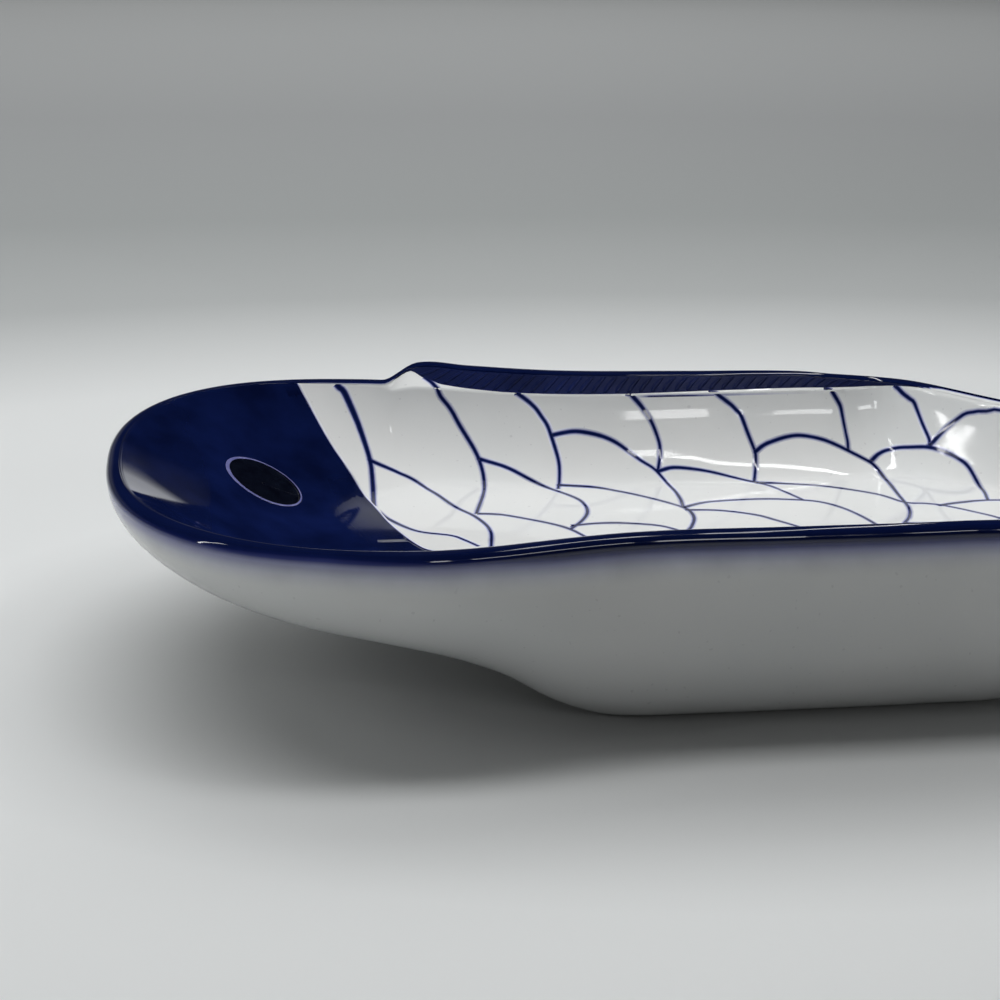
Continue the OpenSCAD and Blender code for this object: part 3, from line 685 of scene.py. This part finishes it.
head = make_piece(
    "head_colour", [head_field, head_lip, head_corner, head_bleed],
    fade=[np.zeros(head_field.shape[:2]), np.zeros(head_lip.shape[:2]), np.zeros(head_corner.shape[:2]),
          np.broadcast_to(bleed_fade, head_bleed.shape[:2])])
# The coat lies thick here. Its shine is dull where it pooled round the eye, and clear again at both ends.
head_glaze = glaze_material("head_cobalt", "fade", blotch=0.8)
tree = head_glaze.node_tree
where = next(n for n in tree.nodes if n.bl_idname == "ShaderNodeTexCoord").outputs["Object"]
axes = add_node(tree, "ShaderNodeSeparateXYZ", Vector=where).outputs
before_eye = remap(tree, axes["X"], -0.147, -0.137, 0.34, 0.0)
slant = math(tree, "ADD", math(tree, "MULTIPLY", axes["X"], 0.95), math(tree, "MULTIPLY", axes["Y"], 0.31))
behind_eye = remap(tree, slant, -0.0975, -0.088, 0.0, 0.36)
behind_eye = math(tree, "MULTIPLY", behind_eye, remap(tree, axes["Y"], 0.034, 0.042, 1.0, 0.0))
shader = tree.nodes["Principled BSDF"]
tree.links.new(math(tree, "ADD", before_eye, behind_eye), shader.inputs["Specular IOR Level"])
bump = next(n for n in tree.nodes if n.bl_idname == "ShaderNodeBump")
bump.inputs["Strength"].default_value = 0.14
finish_coat(head, "head_glaze", head_glaze)


# Rim colour
# A cobalt band brushed round the lip, dark on the crest and over the outside. It runs a few millimetres down
# the outer wall in the fire, so its lower edge is soft, while its inner edge stays sharp.
rim_places = np.concatenate([np.linspace(3, 4, 17)[:-1], np.linspace(4, 4.16, 26)])
rim_ribs = np.arange(rib_count, dtype=float)
rim_lift = coat_skin * (1 - 1.6 * ease(rim_places, 4.08, 4.16))
rim_field = lifted(rim_ribs[None] + 0 * rim_places[:, None], rim_places[:, None] + 0 * rim_ribs[None],
                   rim_lift[:, None] + 0 * rim_ribs[None])
run_down = np.cumsum(np.linalg.norm(np.diff(rim_field, axis=0), axis=-1), axis=0)
run_down = np.concatenate([0 * run_down[:1], run_down])
lip_run = run_down[16]
in_head = np.isin(np.arange(rib_count), full_ribs.astype(int)) | (stations > tail_edge_s)
on_back = np.arange(rib_count) > fork_rib
fin_end = fin_s + fin_l
on_fin = on_back & (stations > fin_s + 3) & (stations < fin_end)
sharp_from = np.radians(lip_turn - 114) * lip_r
fin_run_out = 1 - ease(stations, fin_end + 4, fin_end + 11)
sharp_from -= np.where(on_back & (stations >= fin_end), (sharp_from + 0.4) * fin_run_out, 0)
sharp_from -= np.where(on_back & (stations < fin_s + 3), 0.6, 0)
sharp_from = np.where(in_head | on_fin, -2.0, sharp_from)
inner_fade = np.clip((sharp_from - run_down) / 0.45, 0, 1)
cheek_gap = 0.9 * np.exp(-((stations - 45) / 18) ** 2)
belly_run = 1.1 * ease(stations, 76, 98)
band_w = np.where(on_back, -2.4, -2.4 - cheek_gap + belly_run)
bleed_l = np.minimum(9.5, run_down[-1] - lip_run - band_w)
outer_fade = np.clip((run_down - lip_run - band_w) / bleed_l, 0, 1)
# Its outer part takes the same painted shade as the body's outer wall.
rim = make_piece("rim_colour", [rim_field], closed=True, fade=[np.maximum(inner_fade, outer_fade)],
                 shade=[glaze_shade(rim_places)[:, None] + 0 * run_down])
finish_coat(rim, "rim_glaze",
            glaze_material("rim_cobalt", "fade", blotch=0.2, wobble=0.02, wobble_scale=160, shade="shade"))


# Fin colour and strokes
# The face of the fin is flooded with dark cobalt, which also runs a little under it on the wall. Slanting
# strokes of a fuller brush stand on it, one after the other, leaning towards the tail.
fin_ribs = np.flatnonzero(on_back & (stations > fin_s + 4.5) & (stations < fin_end + 6)).astype(float)
fin_at = stations[fin_ribs.astype(int)]
fin_from = np.interp(fin_at - fin_s, [5.5, 7, 10, 15, 22, 31, 62, 73, 84, 128, 135, 141, 145],
                     [3.0, 2.94, 2.51, 2.21, 2.10, 2.02, 2.02, 2.05, 2.11, 2.24, 2.33, 2.69, 3.0])
fin_rows = np.linspace(0, 1, 14)[:, None]
fin_places = fin_from + (3 - fin_from) * fin_rows
fin_field = lifted(fin_ribs[None] + 0 * fin_places, fin_places, coat_skin + 0 * fin_places)
fin_fade = np.clip(0.14 - 1.5 * fin_rows, 0, 1) + 0 * fin_places
run_from = fin_s + 64
run_to = fin_s + 124
run_ribs = np.flatnonzero(on_back & (stations > run_from) & (stations < run_to)).astype(float)
run_at = stations[run_ribs.astype(int)]
run_share = np.clip(np.minimum((run_at - run_from) / 6, (run_to - run_at) / 45), 0, 1)
run_places = np.linspace(1.945, 2.005, 9)[:, None]
run_lift = coat_skin * np.linspace(-0.5, 0.8, 9)[:, None]
run_field = lifted(run_ribs[None] + 0 * run_places, run_places + 0 * run_ribs, run_lift + 0 * run_ribs)
run_fade = 1 - run_share * np.array([0, 0.2, 0.6, 0.86, 0.9, 0.86, 0.5, 0.2, 0.1])[:, None]
fin = make_piece("fin_colour", [fin_field, run_field], fade=[fin_fade, run_fade])
finish_coat(fin, "fin_glaze",
            glaze_material("fin_cobalt", "fade", blotch=0.4, wobble=0.1, matt=0.5, shine=0.25))

stroke_pitch = 3.2
stroke_w = 1.5
stroke_lean = 4.0
stroke_h = 0.1
back_numbers = np.arange(fork_rib, rib_count)
strokes = []
for start in np.arange(fin_s + 10, fin_end - 12, stroke_pitch):
    t = np.linspace(0, 1, 9)[:, None]
    across = np.array([[-1.0, -0.5, 0.0, 0.5, 1.0]])
    width = stroke_w / 2 * np.sin(np.pi * (0.12 + 0.8 * t)) ** 0.6
    station = start + stroke_lean * t**1.3 + width * across
    ribs = np.interp(-station, -stations[back_numbers], back_numbers)
    lowest = np.interp(-station, -fin_at, fin_from) + 0.06
    height = coat_skin + stroke_h * (1 - across**2) + 0 * ribs
    strokes.append(lifted(ribs, lowest + (2.96 - lowest) * t, height))
fin_marks = make_piece("fin_strokes", strokes, fade=[np.zeros(s.shape[:2]) for s in strokes])
finish_coat(fin_marks, "fin_strokes",
            glaze_material("fin_stroke_ink", "fade", blotch=0.9, matt=0.5, shine=0.2))


# Tail colour
# The tail is flooded with the same dark cobalt as the head, behind an edge that bows towards the head. It is
# brushed up to the rim's band on both lobes and bleeds a little into the white in the fire.
edge_y = np.linspace(-40, 40, 120)
tail_edge = np.stack([tail_edge_at(edge_y), edge_y], -1)
crossing = rib_crossing(tail_edge)
tail_from = np.flatnonzero(~np.isnan(crossing))
tail_ribs = np.arange(tail_from[0], tail_from[-1] + 1)
tail_high = np.where(np.isnan(crossing[tail_ribs]), 1, np.nan_to_num(crossing[tail_ribs]))
tail_field = coat_field(tail_ribs.astype(float), 0 * tail_high, tail_high, coat_skin)
tail_full = tail_ribs[tail_high >= 1].astype(float)
tail_lip = lifted(tail_full[None], np.linspace(2, 3, 10)[:, None], coat_skin + 0 * tail_full)
tail_middle = np.abs(edge_y) < 19
tail_bleed = ribbon(tail_edge[::-1][tail_middle], bleed_at[None], bleed_lift)
tail = make_piece(
    "tail_colour", [tail_field, tail_lip, tail_bleed],
    fade=[np.zeros(tail_field.shape[:2]), np.zeros(tail_lip.shape[:2]),
          np.broadcast_to(bleed_fade, tail_bleed.shape[:2])])
finish_coat(tail, "tail_glaze", glaze_material("tail_cobalt", "fade", blotch=0.8))


# Gill and scale lines
# Brush lines drawn on the white before the last glaze: a thick one behind the head, then rows of overlapping
# scales. Each starts with a full brush, thins towards its end, and has a soft blue bleed on both sides.
gill_points = [(head_edge_back + 8.6, 64.5), (head_edge_back + 10.6, 61.7), (head_edge_back + 12.6, 60.4),
               (head_edge_back + 15.8, 54.8), (head_edge_back + 17.9, 46.9), (head_edge_back + 18, 38),
               (head_edge_back + 17, 21.8)]
scale_arcs = [
    [(79.5, 63.8), (81.7, 61.5), (83.6, 59.1), (87.8, 55.6), (93, 46.9), (93, 35.1), (88.5, 16.4)],
    [(103.2, 54), (107.5, 52.4), (109.8, 51.1), (112, 48.9), (113.6, 43.5), (113, 37.8), (111.9, 33.2)],
    [(132.5, 51.6), (136.9, 50.5), (139.5, 48.9), (140.9, 46.3), (140.8, 43.8), (139.4, 39.5)],
    [(155, 51.9), (159.6, 51.3), (162.3, 50.7), (164.3, 49.6), (166.4, 45.4), (166.5, 42.4), (164.1, 34.2)],
    [(187.2, 53.4), (191.1, 52.8), (192.3, 51.7), (193, 47.8), (192.7, 45.5)],
    [(207, 54.3), (210.5, 51.2), (212.1, 49.2), (214.2, 44.1), (214.3, 42.5)],
    [(214.3, 42.5), (216.6, 42.3), (218.8, 41.4), (221.4, 39.5), (223.8, 37.1), (226.2, 34.6), (229, 31.9)],
    [(64.4, 46.5), (71.5, 43.3), (76, 39.9), (79.9, 32.6), (83.9, 21.8), (88.1, 13.9), (90.3, 4.5),
     (89, -7)],
    [(93, 46.9), (101.4, 42.2), (109.8, 33.6), (115.1, 26.2), (116.6, 20.9), (116.2, 15), (113.8, 9.3),
     (109.9, 3.5)],
    [(112.5, 48.3), (119.9, 48.2), (128.8, 46.4), (135.6, 42.3), (139.3, 39), (141.5, 32), (141.8, 23.1),
     (141.1, 16.8)],
    [(139.5, 39.4), (144.6, 40.4), (153.9, 38.7), (163.8, 34.3), (167.3, 31.6), (170, 26.8), (173.1, 20)],
    [(166.7, 44.3), (170.8, 46.2), (179.5, 47.7), (189.2, 46.3), (196.9, 43.1), (199.4, 39.4),
     (199.7, 31.5), (199.1, 21.5), (198.5, 12), (196.4, 5.3), (193.3, 0.6)],
    [(198.2, 42.5), (201, 44.8), (204.1, 45.8), (208.2, 45.4), (214.1, 42.2), (219.7, 36), (222.2, 31),
     (222.6, 23.6), (221.1, 16.1)],
    [(64, 20.9), (66.6, 14.1), (72.5, 5.5), (80.4, 1.7), (83.3, -1.7), (86.1, -6.1)],
    [(88.7, 16.4), (93, 15.7), (96.7, 14.1), (105.5, 8.1), (109.9, 3.5), (112.8, -2.2)],
    [(112.5, 35.3), (121.8, 33.4), (127.3, 30.2), (132.3, 26.2), (137, 21.7), (141.1, 16.8), (142.2, 13.5),
     (142, 8.8), (140.2, 3.5), (138, -0.5)],
    [(110.6, 6), (116.8, 7.1), (122.5, 7), (128, 5.8), (132.9, 3.8), (137.3, -0.6)],
    [(141.2, 16.8), (146.7, 19.8), (152.3, 20.9), (163.1, 21.4), (173.4, 19.6), (178, 17.3), (181.5, 13.1),
     (184.3, 7.2), (186.6, -0.5)],
    [(164.5, 33.9), (171.7, 32.7), (181.8, 29.9), (193.4, 22.9), (198.8, 16), (204.2, 14.6), (208.8, 12.3),
     (216.4, 5.5), (219.2, 2.3)],
    [(141.6, 14.9), (149.9, 13.8), (158, 9.9), (162.1, 5.7), (167.5, -0.5)],
    [(207, 13), (212.3, 14.5), (221.1, 15.8), (230, 14), (237, 8), (241, 0)],
    [(230, 30.5), (237, 26), (242, 16), (243, 6)],
    [(89, -7), (99, -10), (109, -20), (112, -30), (106, -41)],
    [(114, -3), (125, -6), (135, -16), (138, -26), (132, -38)],
    [(138, 0), (150, -3), (161, -12), (164, -23), (158, -35)],
    [(168, -1), (178, -4), (188, -14), (191, -24), (185, -36)],
    [(194, 1), (205, -1), (214, -10), (216, -20), (210, -31)],
    [(219, 2.5), (230, -1), (238, -9), (236, -18)],
    [(82, -20), (92, -28), (96, -38), (93, -48)],
    [(106, -41), (116, -44), (124, -51), (127, -62)],
    [(132, -38), (143, -41), (151, -49), (154, -62)],
    [(158, -35), (169, -39), (177, -47), (180, -62)],
    [(185, -36), (196, -39), (204, -46), (208, -58)],
    [(210, -31), (220, -31), (229, -33), (236, -35)],
    [(93, -48), (100, -54), (104, -64)]]
line_bleed = 1.1
core_soft = 0.2


def brush_width(line, full, thin):
    """Half width along a line, from a full brush at its start to a thin one at its end, slightly swelling."""
    t = np.linspace(0, 1, len(line))
    return 0.5 * (thin + (full - thin) * (1 - t) ** 1.4) * (1 + 0.08 * np.sin(9 * t + line[0, 0]))


gill_line = surface_line(gill_points)
scale_lines = [surface_line(arc) for arc in scale_arcs]
drawn = [(gill_line, brush_width(gill_line, 1.4, 0.8))]
drawn += [(line, brush_width(line, 0.92, 0.52)) for line in scale_lines]
ink_points = np.concatenate([skin(*place_on_skin(line)) for line, _ in drawn])
ink_widths = np.concatenate([width for _, width in drawn])


def line_fade(points):
    """Fade at surface points: the least distance to any line's edge, over the width of the bleed."""
    flat = points.reshape(-1, 3)
    least = np.full(len(flat), 1e3)
    for first in range(0, len(ink_points), 400):
        gap = np.linalg.norm(flat[:, None] - ink_points[None, first:first + 400], axis=-1)
        least = np.minimum(least, (gap - ink_widths[first:first + 400]).min(1))
    return np.clip((least + core_soft) / (line_bleed + core_soft), 0, 1).reshape(points.shape[:-1])


def brushed(line, width, height):
    """Strip of a brush line with its bleed: columns at the middle, at the edges and in steps out from them."""
    half = width[:, None]
    out = np.array([1.0, 0.6, 0.3, 0.12]) * line_bleed
    side = np.concatenate([-half - out, -half, 0 * half, half, half + out[::-1]], 1)
    return ribbon(line, side, height * np.array([-0.5, 0.1, 0.6, 0.9, 1, 1, 1, 0.9, 0.6, 0.1, -0.5]))


gill_strip = brushed(*drawn[0], 0.6 * coat_skin)
gill = make_piece("gill_line", [gill_strip], fade=[line_fade(gill_strip)])
finish_coat(gill, "gill_line", glaze_material("gill_cobalt", "fade", blotch=0.5, wobble=0.05))

scale_strips = [brushed(line, width, coat_skin * (0.4 + 0.008 * k))
                for k, (line, width) in enumerate(drawn[1:])]
scales = make_piece("scale_lines", scale_strips, fade=[line_fade(strip) for strip in scale_strips])
finish_coat(scales, "scale_lines",
            glaze_material("scale_cobalt", "fade", blotch=0.5, wobble=0.05))


# Eye
# A disc of near-black glaze on the head colour, with a thin ring of pale lavender trailed round it. The ring
# is thicker at its nose and belly side.
eye_mid = np.array([36.5, head_w / 2 - 39.2])
eye_r = 9.3
ring_w = 0.64
ring_shift = 0.4 * np.array([0.72, 0.69])


def eye_field(radius_low, radius_high, middle_low, rows, height):
    """Rings of plan points between two circles, laid on the surface."""
    a = np.linspace(0, 2 * np.pi, 121)[None, :, None]
    spoke = np.concatenate([np.cos(a), np.sin(a)], -1)
    t = np.linspace(0, 1, rows)[:, None, None]
    plan = (middle_low + radius_low * spoke) * (1 - t) + (eye_mid + radius_high * spoke) * t
    u, v = place_on_skin(plan)
    return lifted(u, v, height + 0 * u)


pupil_field = eye_field(0.01, eye_r - 0.4, eye_mid, 14, 2 * coat_skin)
pupil = make_piece("eye_pupil", [pupil_field])
ring_field = eye_field(eye_r - ring_w, eye_r, eye_mid + ring_shift, 6, 3 * coat_skin)
ring = make_piece("eye_ring", [ring_field])
pupil_glaze = glaze_material("eye_black", shine=0.04)
ring_glaze = glaze_material("eye_pale")
for material, dark, light in ((pupil_glaze, (0.002, 0.0026, 0.007), (0.005, 0.007, 0.015)),
                              (ring_glaze, (0.16, 0.17, 0.42), (0.25, 0.26, 0.54))):
    tree = material.node_tree
    where = next(n for n in tree.nodes if n.bl_idname == "ShaderNodeTexCoord").outputs["Object"]
    tone = ramp(tree, noise(tree, where, 260, 3.0), [(0.3, dark), (0.7, light)])
    tree.links.new(tone, tree.nodes["Principled BSDF"].inputs["Base Color"])
finish_coat(pupil, "eye_pupil", pupil_glaze)
finish_coat(ring, "eye_ring", ring_glaze)


# Table and light
# A pale matt sheet with painted shade in its colour: a painted shadow under the dish, and the fall and
# rise of light over the table and far backdrop painted in further out. Soft panels overhead, behind and
# at the left light the dish without being mirrored; the bars and windows are lamps that the glaze mirrors,
# and so is the pale surround behind.
floor_size = 4.0
floor_mesh = bpy.data.meshes.new("table")
corners = [(-1, -1), (1, -1), (1, 1), (-1, 1)]
floor_mesh.from_pydata([(x * floor_size, y * floor_size, 0) for x, y in corners], [], [(0, 1, 2, 3)])
floor = bpy.data.objects.new("table", floor_mesh)
bpy.context.scene.collection.objects.link(floor)
floor_shadow_paint = bpy.data.materials.new("table_sheet_painted_shade")
floor_shadow_paint.use_nodes = True
tree = floor_shadow_paint.node_tree
where = tree.nodes.new("ShaderNodeTexCoord").outputs["Object"]
drawn_in = add_node(tree, "ShaderNodeVectorMath", Vector=where)
drawn_in.operation = "MULTIPLY"
drawn_in.inputs[1].default_value = (0.6, 1.0, 1.0)
distance = add_node(tree, "ShaderNodeVectorMath", Vector=drawn_in.outputs["Vector"])
distance.operation = "LENGTH"
# Painted shadow and light: dark right under the dish, pale round it, darker further off, paler far away.
shade = ramp(tree, remap(tree, distance.outputs["Value"], 0.0, 2.0, 0.0, 1.0), [
    (0.03, (0.41, 0.42, 0.42)), (0.065, (0.82, 0.84, 0.84)), (0.12, (0.78, 0.80, 0.80)),
    (0.18, (0.48, 0.50, 0.50)), (0.26, (0.40, 0.42, 0.42)), (0.42, (0.44, 0.455, 0.46)),
    (0.75, (0.67, 0.69, 0.69))])
tree.links.new(shade, tree.nodes["Principled BSDF"].inputs["Base Color"])
tree.nodes["Principled BSDF"].inputs["Roughness"].default_value = 0.7
floor_mesh.materials.append(floor_shadow_paint)


def panel(name, start, end, width, glow, aim=(0, 0, 0.03), mirrored=True):
    """Rectangular lamp along the line from start to end, facing a point, of a given brightness.

    Its power is the brightness times pi times its area. A lamp that isn't mirrored only lights the dish.
    """
    start, end = np.array(start), np.array(end)
    length = np.linalg.norm(end - start)
    middle = (start + end) / 2
    right = (end - start) / length
    back = middle - np.array(aim)
    back = back - right * (back @ right)
    back = back / np.linalg.norm(back)
    lamp = bpy.data.lights.new(name, "AREA")
    lamp.shape = "RECTANGLE"
    lamp.size = length
    lamp.size_y = width
    lamp.energy = glow * np.pi * length * width
    holder = bpy.data.objects.new(name, lamp)
    turn = np.column_stack([right, np.cross(back, right), back, middle])
    holder.matrix_world = Matrix(np.vstack([turn, [0, 0, 0, 1]]).tolist())
    holder.visible_glossy = mirrored
    bpy.context.scene.collection.objects.link(holder)


panel("soft_panel", (-0.75, 0.05, 0.90), (0.20, 0.05, 0.90), 0.20, 7.3, mirrored=False)
panel("rear_panel", (-0.45, 0.55, 0.90), (0.40, 0.55, 0.90), 0.30, 1.6, mirrored=False)
panel("ceiling", (-1.0, 1.15, 0.95), (1.0, 1.15, 0.95), 0.90, 1.3, aim=(0, 1.15, 0), mirrored=False)
panel("left_panel", (-1.1, -0.6, 0.50), (-1.1, 0.6, 0.50), 0.50, 1.1, mirrored=False)
panel("right_bar", (0.069, -0.024, 0.385), (0.216, 0.383, 0.385), 0.012, 11.0)
panel("left_bar", (-1.10, -0.33, 0.15), (-1.10, -0.33, 1.20), 0.03, 15.0)
panel("front_bar", (0.059, -0.09, 0.385), (0.062, -0.03, 0.385), 0.02, 8.0)
panel("near_window", (0.36, -1.50, 0.80), (0.50, -1.50, 0.80), 0.30, 6.0)
panel("far_window", (0.66, -1.50, 0.86), (1.30, -1.50, 0.94), 0.16, 6.0)

world = bpy.data.worlds.new("surround")
bpy.context.scene.world = world
world.use_nodes = True
tree = world.node_tree
direction = tree.nodes.new("ShaderNodeTexCoord").outputs["Generated"]
way = add_node(tree, "ShaderNodeSeparateXYZ", Vector=direction)
behind = remap(tree, way.outputs["Y"], -0.3, 0.5, 0.04, 1.0)
tent = math(tree, "MULTIPLY", remap(tree, way.outputs["Z"], 0.1, 0.9, 0.08, 0.04), behind)
sweep = math(tree, "MULTIPLY", remap(tree, way.outputs["Z"], 0.13, 0.27, 1.0, 0.03), behind)
sweep = math(tree, "MULTIPLY", sweep, remap(tree, way.outputs["X"], 0.205, 0.235, 1.0, 0.05))
sweep = math(tree, "MULTIPLY", sweep, remap(tree, way.outputs["X"], 0.10, 0.14, 0.12, 1.0))
mirrored = tree.nodes.new("ShaderNodeLightPath").outputs["Is Glossy Ray"]
level = blend(tree, mirrored, tent, sweep)
tree.links.new(level, tree.nodes["Background"].inputs["Strength"])
tree.nodes["Background"].inputs["Color"].default_value = (0.96, 0.98, 1.0, 1)


# Camera
# A long lens a little above the rim on the belly side, turned slightly towards the tail, as the dish was
# seen. The angles are in radians and the place is in stations.
view_pitch, view_yaw, view_roll = 0.341, -0.149, -0.023
view_from = np.array([25.0, -445.5, 198.2]) * mm + frame_shift
level_ahead = np.array([-np.sin(view_yaw), np.cos(view_yaw), 0])
ahead = level_ahead * np.cos(view_pitch) - np.array([0, 0, np.sin(view_pitch)])
level_right = np.array([np.cos(view_yaw), np.sin(view_yaw), 0])
level_down = -np.cross(level_right, ahead)
right = level_right * np.cos(view_roll) + level_down * np.sin(view_roll)
down = level_down * np.cos(view_roll) - level_right * np.sin(view_roll)
lens = bpy.data.cameras.new("camera")
lens.sensor_width = 36
lens.lens = 72
camera = bpy.data.objects.new("camera", lens)
turn = np.column_stack([right, -down, -ahead, view_from])
camera.matrix_world = Matrix(np.vstack([turn, [0, 0, 0, 1]]).tolist())
bpy.context.scene.collection.objects.link(camera)
bpy.context.scene.camera = camera
bpy.context.scene.view_settings.view_transform = "Standard"
